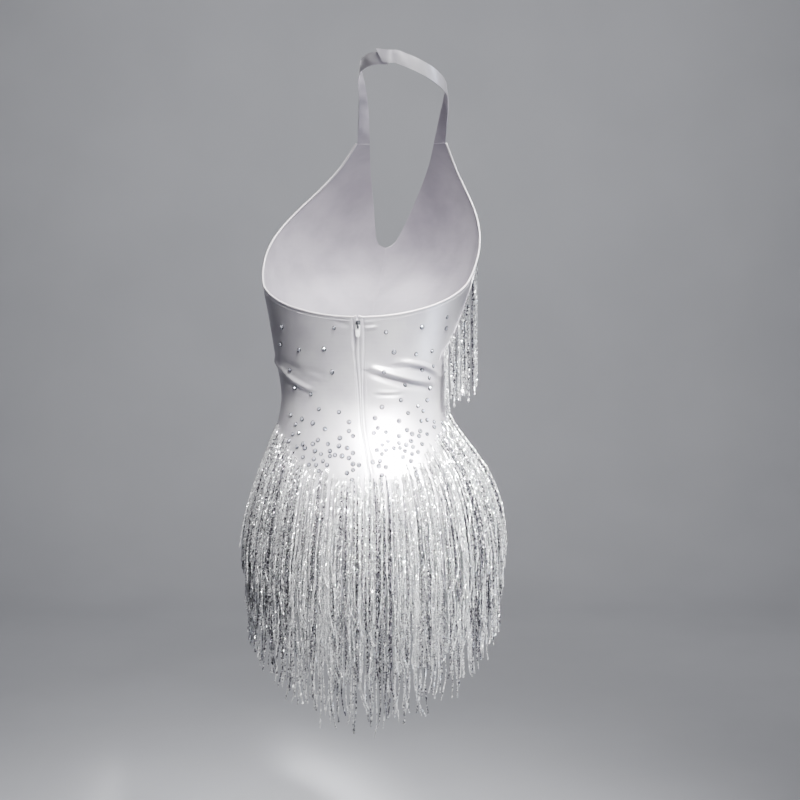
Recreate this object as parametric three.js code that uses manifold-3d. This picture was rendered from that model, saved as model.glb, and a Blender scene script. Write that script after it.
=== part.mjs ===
// A backless halter-neck dance bodysuit with a fringed hip and one fringed bust, kept in the shape it has when worn.
// Millimetres. The wearer faces -Y, +X is the wearer's left and +Z is up.
// The garment is worked out around the waist, and the whole group is then moved so that the origin is
// the middle of the nape, on the inner face of the neck strap, where the neck holds the garment up.
import * as THREE from "three";
import Module from "manifold-3d";
import { mergeVertices } from "three/addons/utils/BufferGeometryUtils.js";

const wasm = await Module();
wasm.setup();

// Driving dimensions
const CLOTH = 1.2;
const SEAM_GAP = 0.3;
const ZIP_GAP = 1.2;
const LEG_TOP = -165;
const CROTCH = -350;
const CROTCH_ANGLE = 13.4;
const SIDE_SEAM = 90;
const SIDE_SEAM_TOP = 168;
const NECKLINE_LOW = 190;
const STRAP_START = 332;

// One row for each ring of the body. Level is the height over the waist, and below the hips the way along the
// cloth down to the crotch. Half is half the width, back and front are depths, shift moves the ring sideways,
// and turn twists it, towards the wearer's left at the back.
const RING_COLUMNS = ["level", "backZ", "frontZ", "half", "back", "front", "shift", "turn"];
const RINGS = [
  [335, 335, 335, 116, 92, 60, -42, 10],
  [300, 300, 300, 130, 100, 76, -35, 10],
  [250, 250, 250, 140, 106, 92, -23, 10],
  [200, 200, 200, 145, 104, 97, -12, 9],
  [150, 150, 150, 140, 100, 95, -5, 8],
  [100, 100, 100, 128, 93, 88, -2, 4],
  [50, 50, 50, 118, 86, 82, 0, 2],
  [0, 0, 0, 109, 82, 79, 1, 0],
  [-35, -35, -35, 115, 88, 83, -1, 0],
  [-70, -70, -70, 130, 100, 88, -7, 0],
  [-105, -105, -105, 146, 110, 92, -12, 0],
  [-150, -150, -150, 157, 117, 92, -14, 0],
  [-200, -200, -200, 163, 114, 80, -14, 0],
  [-235, -233, -229, 164, 98, 62, -14, 0],
  [-270, -256, -252, 164, 72, 42, -14, 0],
  [-310, -271, -269, 164, 36, 20, -14, 0],
  [-350, -276, -276, 164, 0, 0, -14, 0],
];

// The levels of the grid rows: below the waist, then as shares of the way from the waist to the upper edge.
const HIP_LEVELS = [-349.2, -325, -300, -275, -252, -230, -212, -196, -182, -172, -166, -150, -130, -110, -92,
  -74, -58, -44, -30, -16];
const WAIST_SHARES = [0, 0.06, 0.13, 0.19, 0.25, 0.31, 0.38, 0.45, 0.53, 0.62, 0.71, 0.8, 0.9, 1];
const HALTER_LEVELS = [180, NECKLINE_LOW, 193, 198, 207, 222, 240, 262, 285, 308, STRAP_START];
const BACK_COLUMNS = 9;
const FRONT_COLUMNS = 7;

// The upper edge of the body on each side: from the zip over the side seam and up the armhole to the strap.
const EDGE_COLUMNS = ["angle", "height"];
const UPPER_EDGE = [
  [0, 106],
  [20, 109],
  [40, 117],
  [55, 126],
  [70, 138],
  [80, 149],
  [SIDE_SEAM, SIDE_SEAM_TOP],
  [100, 192],
  [110, 216],
  [122, 244],
  [134, 272],
  [143, 300],
  [149, STRAP_START],
];

// The neckline: its angle from the centre front at each height.
const NECKLINE_COLUMNS = ["height", "angle"];
const NECKLINE = [
  [NECKLINE_LOW, 0],
  [193, 3],
  [198, 5],
  [207, 6.5],
  [240, 10.5],
  [285, 16],
  [STRAP_START, 22],
];

const BUST = { x: 62, z: 158, wide: 62, up: 88, down: 48, height: 34 };

// The largest creases, from one angle and level to another. A positive height is a ridge.
const CREASE_COLUMNS = ["angle1", "level1", "angle2", "level2", "height", "width"];
const CREASES = [
  [80, 46, 60, 30, 3, 7],
  [60, 30, 36, 8, 2.6, 7],
  [69, 60, 43, 26, -1.6, 7],
  [-15, 31, -26, 25, -3, 6],
  [-24, 25, -55, 12, -2.4, 6],
  [-13, 43, -30, 37, 2.4, 6],
  [-22, 52, -63, 38, 2, 6],
  [-24, 42, -58, 30, -1.4, 5],
  [-12, 8, -27, 5, -1, 5],
  [118, 36, 150, 14, 2.2, 8],
  [-116, 30, -150, 18, -2.2, 8],
  [-120, 46, -165, 34, 1.8, 8],
];

// The strap at each angle round the neck from the nape. It leans back where the neck widens to the chest.
const STRAP_COLUMNS = ["angle", "radius", "height", "lean", "shiftX", "shiftY", "width"];
const STRAP = [
  [0, 56, 434, 0, -54, 14, 16],
  [30, 56, 428, 0, -54, 14, 16],
  [60, 56, 419, 3, -54, 14, 16],
  [90, 56.4, 408, 8, -53, 13, 16],
  [110, 59, 391, 14, -51, 10, 16.4],
  [122, 64, 373, 19, -48, 6, 17],
  [131, 69, 355, 23, -45, 3, 17],
];
const STRAP_TURN = 10;
const STRAP_TILT = 0.2;
const STRAP_END = 138;
const CLOSURE = { angle: 19, overlap: 15, lift: 1.7 };

const BINDING = { radius: 1.3, sides: 6 };

const ZIP = { bottom: -92, tapeWidth: 16, tapeThickness: 0.8, depth: 0.8 };
const SLIDER = { width: 6.4, length: 11, thickness: 2.6, chamfer: 1, level: 98 };
const CROWN = { width: 2, reach: 3, post: 0.8, room: 2.2, cap: 0.8, root: 0.4 };
const PULL = { width: 5.4, slotWidth: 3.2, slotEnd: 5.2, length: 15, thickness: 1.2, bar: 0.7 };

// The fringe tapes, and one row for each rank of the hip fringe, the highest first. Drop is how far the rank
// sits below the first one, and lift is how far its locks hang outside the cloth.
const TAPE = { height: 8, thickness: 1.6, lift: 0.75 };
const RANK_COLUMNS = ["name", "drop", "lift", "sideLength", "centreExtra", "locks"];
const RANKS = [
  ["fringe_upper", 0, 13.6, 190, 20, 50],
  ["fringe_middle", 52, 8.6, 190, 26, 50],
  ["fringe_lower", 104, 3.6, 185, 34, 50],
];
const ROOT = { back: -96, side: -34, front: -90, tilt: -0.085, half: 118 };
const WIDEST = { side: -225, back: -165, front: -130 };
const HIP_LOCK = { wide: 4.4, thick: 1.7, near: 2.6, lengthSpread: 12, driftSpread: 2, angleSpread: 0.6 };

// The upper line of the bust fringe, from the right back over the side seam to the centre front.
const BUST_LINE_COLUMNS = ["angle", "height", "length"];
const BUST_LINE = [
  [-60, 58, 66],
  [-74, 86, 92],
  [-86, 124, 122],
  [-97, 160, 150],
  [-110, 180, 152],
  [-128, 182, 150],
  [-148, 170, 145],
  [-166, 154, 138],
  [-178, 144, 130],
];
const BUST_LOCK = { count: 28, wide: 2.9, thick: 1.7, lengthSpread: 8, lift: 3.6 };

// Each lock's rings: their share of the free length and their size.
const LOCK_COLUMNS = ["share", "size"];
const LOCK_RINGS = named(
  [
    [-1, 0.3],
    [0, 0.32],
    [0.16, 1],
    [0.4, 1],
    [0.7, 0.9],
    [1, 0.55],
  ],
  LOCK_COLUMNS,
);

// Small tools

const radians = (degrees) => (degrees * Math.PI) / 180;
const mix = (a, b, t) => a + (b - a) * t;
const spread = (count) => Array.from({ length: count + 1 }, (_, i) => i / count);
const bell = (x, width) => Math.exp(-(x * x) / (width * width));

function named(rows, columns) {
  return rows.map((row) => Object.fromEntries(columns.map((column, i) => [column, row[i]])));
}

// A smooth curve through two columns of a table, flat beyond its ends.
function smooth(rows, columns, from, to) {
  const points = named(rows, columns)
    .map((row) => [row[from], row[to]])
    .sort((a, b) => a[0] - b[0]);
  const last = points.length - 1;
  const slopes = points.map((_, i) => {
    const before = points[Math.max(0, i - 1)];
    const after = points[Math.min(last, i + 1)];
    return (after[1] - before[1]) / (after[0] - before[0]);
  });
  return (x) => {
    if (x <= points[0][0]) return points[0][1];
    if (x >= points[last][0]) return points[last][1];
    const i = points.findIndex((point) => point[0] > x) - 1;
    const width = points[i + 1][0] - points[i][0];
    const t = (x - points[i][0]) / width;
    return (
      points[i][1] * (2 * t ** 3 - 3 * t ** 2 + 1) +
      slopes[i] * width * (t ** 3 - 2 * t ** 2 + t) +
      points[i + 1][1] * (3 * t ** 2 - 2 * t ** 3) +
      slopes[i + 1] * width * (t ** 3 - t ** 2)
    );
  };
}

// A repeatable scatter between -1 and 1.
function scatter(seed) {
  const s = Math.sin(seed * 127.1 + 311.7) * 43758.5453;
  return 2 * (s - Math.floor(s)) - 1;
}

// The worn form

const ring = Object.fromEntries(
  RING_COLUMNS.slice(1).map((column) => [column, smooth(RINGS, RING_COLUMNS, "level", column)]),
);
const upperEdge = smooth(UPPER_EDGE, EDGE_COLUMNS, "angle", "height");
const armhole = smooth(
  UPPER_EDGE.filter((row) => row[0] >= SIDE_SEAM),
  EDGE_COLUMNS,
  "height",
  "angle",
);
const neckline = smooth(NECKLINE, NECKLINE_COLUMNS, "height", "angle");
const creases = named(CREASES, CREASE_COLUMNS);

function creaseHeight(angle, level) {
  const perDegree = radians(ring.half(level));
  return creases.reduce((sum, crease) => {
    const dx = (crease.angle2 - crease.angle1) * perDegree;
    const dz = crease.level2 - crease.level1;
    const x = (angle - crease.angle1) * perDegree;
    const z = level - crease.level1;
    const along = THREE.MathUtils.clamp((x * dx + z * dz) / (dx * dx + dz * dz), 0, 1);
    return sum + crease.height * bell(Math.hypot(x - along * dx, z - along * dz), crease.width);
  }, 0);
}

function bustHeight(x, z) {
  const rise = bell(z - BUST.z, z > BUST.z ? BUST.up : BUST.down);
  return BUST.height * rise * (bell(x - BUST.x, BUST.wide) + bell(x + BUST.x, BUST.wide));
}

// A point of the cloth's outer face before creases. The angle is 0 at the centre back and 180 at the centre front.
function plainPoint(angle, level) {
  const turned = radians(angle);
  const atBack = Math.cos(turned) >= 0;
  const x = ring.half(level) * Math.sin(turned);
  const z = atBack ? ring.backZ(level) : ring.frontZ(level);
  const y = atBack
    ? ring.back(level) * Math.cos(turned)
    : ring.front(level) * Math.cos(turned) + bustHeight(x, z) * Math.cos(turned);
  const turn = radians(ring.turn(level));
  return new THREE.Vector3(
    ring.shift(level) + x * Math.cos(turn) + y * Math.sin(turn),
    y * Math.cos(turn) - x * Math.sin(turn),
    z,
  );
}

function bodyNormal(angle, level) {
  const across = plainPoint(angle + 1, level).sub(plainPoint(angle - 1, level));
  const up = plainPoint(angle, level + 1).sub(plainPoint(angle, level - 1));
  return across.cross(up).normalize().negate();
}

// A point of the cloth's outer face, lifted outwards by so many millimetres.
function bodyPoint(angle, level, lift = 0) {
  const height = lift + creaseHeight(angle, level);
  return plainPoint(angle, level).addScaledVector(bodyNormal(angle, level), height);
}

// The leg opening: how far from the centre back or front the cloth reaches at each level.
function legAngle(level, power) {
  const down = Math.min(1, Math.max(0, (LEG_TOP - level) / (LEG_TOP - CROTCH)));
  return mix(SIDE_SEAM, CROTCH_ANGLE, down ** power);
}
const backLegAngle = (level) => legAngle(level, 0.55);
const frontLegAngle = (level) => legAngle(level, 0.38);

// Walls, tubes and joins

// A closed wall of cloth. Each grid's rows run up and each row runs to the right, seen from outside. Grids may
// share places. The function at gives the point at a place and a depth below the cloth's outer face.
function wall(grids, at, thickness = CLOTH) {
  const outer = [];
  const inner = [];
  const known = new Map();
  const indexOf = (place) => {
    const key = place.join();
    if (!known.has(key)) {
      known.set(key, outer.length);
      outer.push(at(place, 0));
      inner.push(at(place, thickness));
    }
    return known.get(key);
  };
  const faces = [];
  for (const grid of grids) {
    const rows = grid.map((row) => row.map(indexOf));
    for (let i = 0; i + 1 < rows.length; i++)
      for (let j = 0; j + 1 < rows[i].length; j++) {
        const [a, b, c, d] = [rows[i][j], rows[i][j + 1], rows[i + 1][j + 1], rows[i + 1][j]];
        faces.push([a, b, c], [a, c, d]);
      }
  }
  const whole = faces.filter(([a, b, c]) => a !== b && b !== c && a !== c);
  const count = outer.length;
  const edges = new Set(whole.flatMap(([a, b, c]) => [`${a},${b}`, `${b},${c}`, `${c},${a}`]));
  const index = whole.flatMap(([a, b, c]) => [a, b, c, a + count, c + count, b + count]);
  for (const edge of edges) {
    const [a, b] = edge.split(",").map(Number);
    if (!edges.has(`${b},${a}`)) index.push(b, a, a + count, b, a + count, b + count);
  }
  return bufferOf([...outer, ...inner], index);
}

function bufferOf(points, index) {
  const numbers = points.flatMap((point) => point.toArray());
  return new THREE.BufferGeometry()
    .setAttribute("position", new THREE.Float32BufferAttribute(numbers, 3))
    .setIndex(index);
}

// A closed body through rings of points, each seen anticlockwise from the side that the rings run towards.
function loft(rings) {
  const sides = rings[0].length;
  const index = [];
  for (let i = 0; i + 1 < rings.length; i++)
    for (let j = 0; j < sides; j++) {
      const next = (j + 1) % sides;
      const [a, b, c, d] = [i * sides + j, i * sides + next, (i + 1) * sides + next, (i + 1) * sides + j];
      index.push(a, b, c, a, c, d);
    }
  const end = (rings.length - 1) * sides;
  for (let j = 1; j + 1 < sides; j++) index.push(0, j + 1, j, end, end + j, end + j + 1);
  return bufferOf(rings.flat(), index);
}

function solidOf(geometry) {
  const bare = new THREE.BufferGeometry()
    .setAttribute("position", geometry.getAttribute("position"))
    .setIndex(geometry.getIndex());
  const merged = mergeVertices(bare, 1e-3);
  return new wasm.Manifold(
    new wasm.Mesh({
      numProp: 3,
      vertProperties: new Float32Array(merged.attributes.position.array),
      triVerts: new Uint32Array(merged.index.array),
    }),
  );
}

function geometryOf(solid) {
  const mesh = solid.getMesh();
  return new THREE.BufferGeometry()
    .setAttribute("position", new THREE.Float32BufferAttribute(mesh.vertProperties, 3))
    .setIndex(new THREE.Uint32BufferAttribute(mesh.triVerts, 1));
}

// Materials

const satin = new THREE.MeshStandardMaterial({ color: 0xdedbe2, roughness: 0.42, metalness: 0 });
const binding = new THREE.MeshStandardMaterial({ color: 0xeae6ea, roughness: 0.5, metalness: 0 });
const lurex = new THREE.MeshStandardMaterial({ color: 0xd4d0d6, roughness: 0.3, metalness: 0.7 });
const zipMetal = new THREE.MeshStandardMaterial({ color: 0xd9dadd, roughness: 0.25, metalness: 0.9 });
const zipCloth = new THREE.MeshStandardMaterial({ color: 0xe4e2e6, roughness: 0.7, metalness: 0 });

const garment = new THREE.Group();

function add(name, geometry, material, parent = garment) {
  const mesh = new THREE.Mesh(geometry, material);
  mesh.name = name;
  parent.add(mesh);
  return mesh;
}

// The cloth panels, with places given as angle and level

const onBody = ([angle, level], depth) => bodyPoint(angle, level, -depth);
const arc = (from, to, columns) => spread(columns).map((share) => mix(from, to, share));
const gapAngle = (level, gap) => THREE.MathUtils.radToDeg(gap / ring.half(level));

// The back reaches from the zip to the side seam, and below the hip to the leg opening.
function backPanel(side) {
  const across = (level) => {
    const zipEdge = side * gapAngle(level, ZIP_GAP / 2);
    const sideEdge = side * (backLegAngle(level) - gapAngle(level, SEAM_GAP / 2));
    return side > 0 ? arc(sideEdge, zipEdge, BACK_COLUMNS) : arc(zipEdge, sideEdge, BACK_COLUMNS);
  };
  const hip = HIP_LEVELS.map((level) => across(level).map((angle) => [angle, level]));
  const waist = WAIST_SHARES.map((share) =>
    across(0).map((angle) => [angle, share * upperEdge(Math.abs(angle))]),
  );
  return wall([[...hip, ...waist]], onBody);
}

// The front is one piece from the crotch to both straps, in two halves that part at the neckline.
function frontPanel() {
  const waistLevels = WAIST_SHARES.map((share) => share * SIDE_SEAM_TOP);
  const levels = [...HIP_LEVELS, ...waistLevels, ...HALTER_LEVELS];
  const outerAngle = (level) =>
    level > SIDE_SEAM_TOP ? armhole(level) : 180 - frontLegAngle(level) + gapAngle(level, SEAM_GAP / 2);
  const innerAngle = (level) => (level > NECKLINE_LOW ? 180 - neckline(level) : 180);
  const left = levels.map((level) =>
    arc(innerAngle(level), outerAngle(level), FRONT_COLUMNS).map((angle) => [angle, level]),
  );
  const right = left.map((row) =>
    row.map(([angle, level]) => [angle === 180 ? angle : -angle, level]).reverse(),
  );
  return wall([left, right], onBody);
}

add("back_left", backPanel(1), satin);
add("back_right", backPanel(-1), satin);
add("front", frontPanel(), satin);

// The two halves of the halter strap. Places are the angle from the nape and the side, 1 for the upper edge.

const strapTrack = Object.fromEntries(
  STRAP_COLUMNS.slice(1).map((column) => [column, smooth(STRAP, STRAP_COLUMNS, "angle", column)]),
);

function strapCentre(angle, lift) {
  const away = Math.abs(angle);
  const turned = radians(angle + STRAP_TURN);
  const radius = strapTrack.radius(away) + lift;
  const x = radius * Math.sin(turned);
  const tilt = STRAP_TILT * THREE.MathUtils.clamp((STRAP_END - away) / 60, 0, 1);
  return new THREE.Vector3(
    strapTrack.shiftX(away) + x,
    strapTrack.shiftY(away) + radius * Math.cos(turned),
    strapTrack.height(away) + tilt * x,
  );
}

function strapNormal(angle) {
  const lean = radians(strapTrack.lean(Math.abs(angle)));
  const turned = radians(angle + STRAP_TURN);
  return new THREE.Vector3(
    Math.sin(turned) * Math.cos(lean),
    Math.cos(turned) * Math.cos(lean),
    Math.sin(lean),
  );
}

// At its end the strap takes the width and the direction of the front's upper edge.
function strapPoint(angle, side, lift) {
  if (Math.abs(angle) >= STRAP_END) {
    const level = STRAP_START + SEAM_GAP;
    const edge = mix(armhole(level), 180 - neckline(level), (side + 1) / 2);
    return bodyPoint(Math.sign(angle) * edge, level, lift - CLOTH);
  }
  const along = strapCentre(angle + 1, lift).sub(strapCentre(angle - 1, lift)).normalize();
  const upward = along.cross(strapNormal(angle)).normalize();
  const half = strapTrack.width(Math.abs(angle)) / 2;
  return strapCentre(angle, lift).addScaledVector(upward, side * half);
}

function strap(from, to, steps, raised = () => 0) {
  const middle = arc(from, to, steps);
  const angles = [...(from > 100 ? [STRAP_END] : []), ...middle, ...(to < -100 ? [-STRAP_END] : [])];
  const rows = [-1, 1].map((side) => angles.map((angle) => [angle, side]));
  return wall([rows], ([angle, side], depth) =>
    strapPoint(angle, side, CLOTH + raised(angle) - depth),
  );
}

const closureStart = CLOSURE.angle - CLOSURE.overlap / 2;
const closureEnd = CLOSURE.angle + CLOSURE.overlap / 2;
const overlapLift = (angle) =>
  CLOSURE.lift * THREE.MathUtils.smoothstep(angle, closureStart - 7, closureStart - 1);
add("strap_left", strap(131, closureStart, 18), satin);
add("strap_right", strap(closureEnd, -131, 28, overlapLift), satin);

// The narrow binding along the back's upper edge and the armhole, on each side

function bindingTube(side) {
  const zipEdge = gapAngle(0, ZIP_GAP / 2);
  const seamEdge = SIDE_SEAM - gapAngle(0, SEAM_GAP / 2);
  const backEdge = arc(zipEdge, seamEdge, BACK_COLUMNS).map((angle) => [side * angle, upperEdge(angle)]);
  const armEdge = HALTER_LEVELS.map((level) => [side * armhole(level), level]);
  const places = [...backEdge, ...armEdge];
  const rings = places.map(([angle, level], i) => {
    const before = places[Math.max(0, i - 1)];
    const after = places[Math.min(places.length - 1, i + 1)];
    const along = bodyPoint(...after).sub(bodyPoint(...before)).normalize();
    const away = along.clone().cross(bodyNormal(angle, level)).multiplyScalar(side).normalize();
    const outward = along.clone().cross(away);
    const centre = bodyPoint(angle, level, -CLOTH / 2);
    centre.addScaledVector(away, BINDING.radius + SEAM_GAP);
    return spread(BINDING.sides)
      .slice(1)
      .map((share) => share * 2 * Math.PI)
      .map((turn) =>
        centre
          .clone()
          .addScaledVector(away, Math.cos(turn) * BINDING.radius)
          .addScaledVector(outward, Math.sin(turn) * BINDING.radius),
      );
  });
  return loft(rings);
}
add("binding_left", bindingTube(1), binding);
add("binding_right", bindingTube(-1), binding);

// The zip in the centre back: its tape inside the cloth, the slider outside and the pull that turns on it

function zipTape() {
  const levels = [
    ...HIP_LEVELS.filter((level) => level >= ZIP.bottom),
    ...WAIST_SHARES.slice(0, -1).map((share) => share * upperEdge(0)),
  ];
  const rows = levels.map((level) => {
    const half = gapAngle(level, ZIP.tapeWidth / 2);
    return arc(half, -half, 4).map((angle) => [angle, level]);
  });
  const inside = ([angle, level], depth) => bodyPoint(angle, level, -CLOTH - ZIP.depth - depth);
  return wall([rows], inside, ZIP.tapeThickness);
}
add("zip_tape", zipTape(), zipCloth);

// The slider's frame has Y out of the cloth and Z up along it.
const sliderOut = bodyNormal(0, SLIDER.level);
const sliderUp = new THREE.Vector3(0, 0, 1).addScaledVector(sliderOut, -sliderOut.z).normalize();
const sliderAcross = new THREE.Vector3().crossVectors(sliderOut, sliderUp);
const sliderGroup = new THREE.Group();
sliderGroup.position.copy(bodyPoint(0, SLIDER.level, SEAM_GAP));
sliderGroup.quaternion.setFromRotationMatrix(
  new THREE.Matrix4().makeBasis(sliderAcross, sliderOut, sliderUp),
);
garment.add(sliderGroup);

function block(width, depth, height, x, y, z) {
  return solidOf(new THREE.BoxGeometry(width, depth, height).translate(x, y, z));
}

function sliderSolid() {
  const { width, length, thickness, chamfer } = SLIDER;
  const outline = new THREE.Shape()
    .moveTo(-width / 2, length / 2 - chamfer)
    .lineTo(-width / 2 + chamfer, -length / 2)
    .lineTo(width / 2 - chamfer, -length / 2)
    .lineTo(width / 2, length / 2 - chamfer)
    .lineTo(width / 2 - chamfer, length / 2)
    .lineTo(-width / 2 + chamfer, length / 2);
  const plate = new THREE.ExtrudeGeometry(outline, { depth: thickness, bevelEnabled: false });
  const body = solidOf(plate.rotateX(Math.PI / 2).translate(0, thickness, 0));
  const postDepth = CROWN.room + CROWN.cap + CROWN.root;
  const postY = thickness - CROWN.root + postDepth / 2;
  const postZ = CROWN.reach - CROWN.post / 2;
  const upper = block(CROWN.width, postDepth, CROWN.post, 0, postY, postZ);
  const lower = block(CROWN.width, postDepth, CROWN.post, 0, postY, -postZ);
  const capY = thickness + CROWN.room + CROWN.cap / 2;
  return body.add(upper).add(lower).add(block(CROWN.width, CROWN.cap, CROWN.reach * 2, 0, capY, 0));
}
add("zip_slider", geometryOf(sliderSolid()), zipMetal, sliderGroup);

// The pull hangs straight down from the bar that turns in the crown's room.
function pullSolid() {
  const { width, slotWidth, slotEnd, length, thickness, bar } = PULL;
  const outline = new THREE.Shape()
    .moveTo(-width / 2, bar)
    .lineTo(-width / 2, -length + width / 2)
    .absarc(0, -length + width / 2, width / 2, Math.PI, 2 * Math.PI, false)
    .lineTo(width / 2, bar);
  const slot = new THREE.Path()
    .moveTo(-slotWidth / 2, -bar)
    .lineTo(slotWidth / 2, -bar)
    .lineTo(slotWidth / 2, -slotEnd)
    .lineTo(-slotWidth / 2, -slotEnd);
  outline.holes.push(slot);
  const settings = { depth: thickness, bevelEnabled: false, curveSegments: 8 };
  const plate = new THREE.ExtrudeGeometry(outline, settings);
  return plate.translate(0, 0, -thickness / 2).rotateX(Math.PI / 2);
}
sliderGroup.updateMatrix();
const pullGroup = new THREE.Group();
pullGroup.position.set(0, SLIDER.thickness + CROWN.room / 2, 0).applyMatrix4(sliderGroup.matrix);
pullGroup.rotation.z = Math.atan2(sliderAcross.y, sliderAcross.x);
garment.add(pullGroup);
add("zip_pull", pullSolid(), zipMetal, pullGroup);

// Fringe: locks of strands whose roots are fused into a narrow tape that lies on the cloth

// A tape below the given line of angle and level.
function tape(line) {
  const rows = [TAPE.height, 0].map((down) => line.map(([angle, level]) => [angle, level - down]));
  const outside = ([angle, level], depth) =>
    bodyPoint(angle, level, TAPE.lift + TAPE.thickness - depth);
  return solidOf(wall([rows], outside, TAPE.thickness));
}

// The first two rings of a lock lie in its tape and just below it, and free gives the other centres.
function lock(angle, low, outward, shape, free) {
  const across = new THREE.Vector3().crossVectors(outward, new THREE.Vector3(0, 0, 1));
  const tapeMiddle = TAPE.lift + TAPE.thickness / 2;
  const rings = LOCK_RINGS.map(({ share, size }, k) => {
    const down = k === 0 ? -TAPE.height / 3 : 1;
    const centre = k < 2 ? bodyPoint(angle, low - down, tapeMiddle) : free(share);
    return [90, 210, 330].map(radians).map((turn) =>
      centre
        .clone()
        .addScaledVector(outward, Math.sin(turn) * size * shape.thick)
        .addScaledVector(across, -Math.cos(turn) * size * shape.wide),
    );
  });
  return solidOf(loft(rings));
}

// Where a lock of the hip fringe hangs: on the cloth down to the widest ring, then straight down.
function drapePoint(angle, z, lift) {
  const turned = radians(angle);
  const depth =
    Math.cos(turned) >= 0 ? ring.back(Math.max(z, WIDEST.back)) : ring.front(Math.max(z, WIDEST.front));
  return new THREE.Vector3(
    ring.shift(z) + (ring.half(Math.max(z, WIDEST.side)) + lift) * Math.sin(turned),
    (depth + lift) * Math.cos(turned),
    z,
  );
}

function rootLevel(angle, drop) {
  const sine = Math.sin(radians(angle));
  const centre = Math.cos(radians(angle)) >= 0 ? ROOT.back : ROOT.front;
  return mix(centre, ROOT.side, sine * sine) + ROOT.tilt * ROOT.half * sine - drop;
}

function hipFringe(rank, order) {
  let body = tape(arc(358.6, 1.4, 48).map((angle) => [angle, rootLevel(angle, rank.drop)]));
  for (let i = 0; i < rank.locks; i++) {
    const seed = order * 100 + i;
    const angle = mix(4, 356, i / (rank.locks - 1)) + HIP_LOCK.angleSpread * scatter(seed);
    const low = rootLevel(angle, rank.drop) - TAPE.height;
    const length =
      rank.sideLength +
      rank.centreExtra * Math.cos(radians(angle)) ** 2 +
      HIP_LOCK.lengthSpread * scatter(seed + 0.5);
    const drift = HIP_LOCK.driftSpread * scatter(seed + 0.7);
    const outward = bodyNormal(angle, low).setZ(0).normalize();
    const sideways = new THREE.Vector3(outward.y, -outward.x, 0);
    const free = (share) => {
      const lift = mix(HIP_LOCK.near, rank.lift, Math.min(1, 1.3 * share));
      return drapePoint(angle, low - share * length, lift).addScaledVector(sideways, drift * share * share);
    };
    body = body.add(lock(angle, low, outward, HIP_LOCK, free));
  }
  return geometryOf(body);
}

named(RANKS, RANK_COLUMNS).forEach((rank, order) => add(rank.name, hipFringe(rank, order + 1), lurex));

// The locks of the bust fringe hang straight down from the fullest line of the cloth.
function bustFringe() {
  const height = smooth(BUST_LINE, BUST_LINE_COLUMNS, "angle", "height");
  const fall = smooth(BUST_LINE, BUST_LINE_COLUMNS, "angle", "length");
  const from = BUST_LINE[0][0];
  const to = BUST_LINE.at(-1)[0];
  let body = tape(arc(from, to, 26).map((angle) => [angle, height(angle)]));
  for (let i = 0; i < BUST_LOCK.count; i++) {
    const angle = mix(from - 1.5, to + 1.5, i / (BUST_LOCK.count - 1));
    const low = height(angle) - TAPE.height;
    const length = fall(angle) + BUST_LOCK.lengthSpread * scatter(700 + i);
    const outward = bodyNormal(angle, low).setZ(0).normalize();
    const start = bodyPoint(angle, low - 6, BUST_LOCK.lift).setZ(bodyPoint(angle, low).z);
    const free = (share) => start.clone().add(new THREE.Vector3(0, 0, -share * length));
    body = body.add(lock(angle, low, outward, BUST_LOCK, free));
  }
  return geometryOf(body);
}
add("fringe_bust", bustFringe(), lurex);

// The origin moves to the nape, on the inner face of the strap.
garment.position.copy(strapPoint(0, 0, 0)).negate();
const part = new THREE.Group();
part.add(garment);

export default part;
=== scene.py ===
# The looks of a white satin halter bodysuit with a silver fringe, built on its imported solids.
# Tables and sizes are in millimetres around the waist. Pieces are made in metres in the frame's own place.
import math

import bpy
import numpy as np
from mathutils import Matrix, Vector
from mathutils.bvhtree import BVHTree


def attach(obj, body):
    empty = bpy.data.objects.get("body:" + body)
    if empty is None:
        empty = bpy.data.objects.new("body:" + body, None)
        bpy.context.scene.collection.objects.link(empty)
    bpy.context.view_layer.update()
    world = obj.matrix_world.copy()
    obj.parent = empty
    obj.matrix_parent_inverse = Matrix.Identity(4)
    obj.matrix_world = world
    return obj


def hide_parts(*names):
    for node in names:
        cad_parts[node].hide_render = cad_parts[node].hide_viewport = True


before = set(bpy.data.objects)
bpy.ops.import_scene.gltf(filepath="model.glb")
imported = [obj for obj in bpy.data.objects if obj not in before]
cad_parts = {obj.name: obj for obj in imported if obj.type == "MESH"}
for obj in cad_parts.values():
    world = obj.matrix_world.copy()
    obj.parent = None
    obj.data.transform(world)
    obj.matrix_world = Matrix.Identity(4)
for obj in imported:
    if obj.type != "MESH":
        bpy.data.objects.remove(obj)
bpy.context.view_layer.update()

BODY = "garment"
PULL_BODY = "pull_tab"
MILLIMETRE = 0.001

# The camera, in the photograph's frame of 800 by 800 pixels
PHOTO_SIZE = 800
FOCAL_PIXELS = 1565
SENSOR = 36
CAMERA_DISTANCE = 2100
CAMERA_RISE = 7
CAMERA_AIM = (-49, 0, -10)

# Cloth
CLOTH = 1.2
CLOTH_FOOT = -349.2
SEAM_GAP = 0.3
ZIP_GAP = 1.2
LEG_TOP = -165
CROTCH = -350
CROTCH_ANGLE = 13.4
SIDE_SEAM = 90
SIDE_SEAM_TOP = 168
NECKLINE_LOW = 190
STRAP_START = 332

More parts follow.
